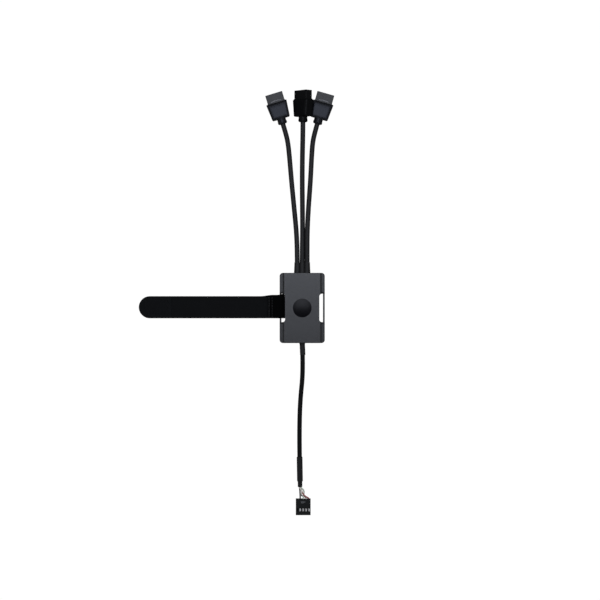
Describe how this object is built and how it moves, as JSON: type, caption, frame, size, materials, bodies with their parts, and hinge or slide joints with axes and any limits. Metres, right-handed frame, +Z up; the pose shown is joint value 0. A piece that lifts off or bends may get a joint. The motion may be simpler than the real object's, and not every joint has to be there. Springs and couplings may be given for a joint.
{
  "type": "internal usb hub",
  "caption": "Flat internal USB hub in a moulded box with shrouded pin plugs on output leads, a pin socket on the input lead and a hook-and-loop strap looped through a side slot.",
  "frame": {"origin": "middle of the flat base of the hub's box", "axes": "+X to the free strap bar, with the strap running to -X; +Y along the output leads; +Z up, away from the surface the hub lies on"},
  "size_m": [0.1676, 0.3632, 0.018],
  "materials": {
    "housing": "satin moulded plastic with a fine texture",
    "board": "green solder mask",
    "chip": "matte moulded resin",
    "crystal_can": "pressed metal can",
    "capacitor": "tan ceramic",
    "resistor": "black glaze",
    "red_insulation": "satin soft plastic",
    "white_insulation": "satin soft plastic",
    "green_insulation": "satin soft plastic",
    "black_insulation": "satin soft plastic",
    "solder": "bright solder",
    "boot": "soft moulded strain relief",
    "jacket": "satin cable jacket",
    "sleeve": "heat-shrink sleeve",
    "socket": "matte moulded plastic",
    "contact": "tinned contact",
    "grip": "satin moulded grip",
    "shroud": "fine grained moulded shroud",
    "pin": "gold plated pin",
    "strap": "woven tape with loop and hook faces"
  },
  "bodies": {
    "root": {"top_cover": "housing", "bottom_cover": "housing", "circuit_board": "board", "controller_chip": "chip", "crystal": "crystal_can", "bulk_capacitors": "capacitor", "chip_capacitors": "capacitor", "chip_resistors": "resistor", "power_wires": "red_insulation", "data_minus_wires": "white_insulation", "data_plus_wires": "green_insulation", "ground_wires": "black_insulation", "solder_joints": "solder", "output_boot": "boot", "input_boot": "boot", "left_cable": "jacket", "middle_cable": "jacket", "right_cable": "jacket", "input_cable": "jacket", "cable_sleeve": "sleeve", "header_black_wire": "black_insulation", "header_green_wire": "green_insulation", "header_white_wire": "white_insulation", "header_red_wire": "red_insulation", "header_housing": "socket", "header_contacts": "contact", "left_plug_grip": "grip", "left_plug_shroud": "shroud", "left_plug_pins": "pin", "middle_plug_grip": "grip", "middle_plug_shroud": "shroud", "middle_plug_pins": "pin", "right_plug_grip": "grip", "right_plug_shroud": "shroud", "right_plug_pins": "pin", "strap": "strap"}
  },
  "joints": []
}
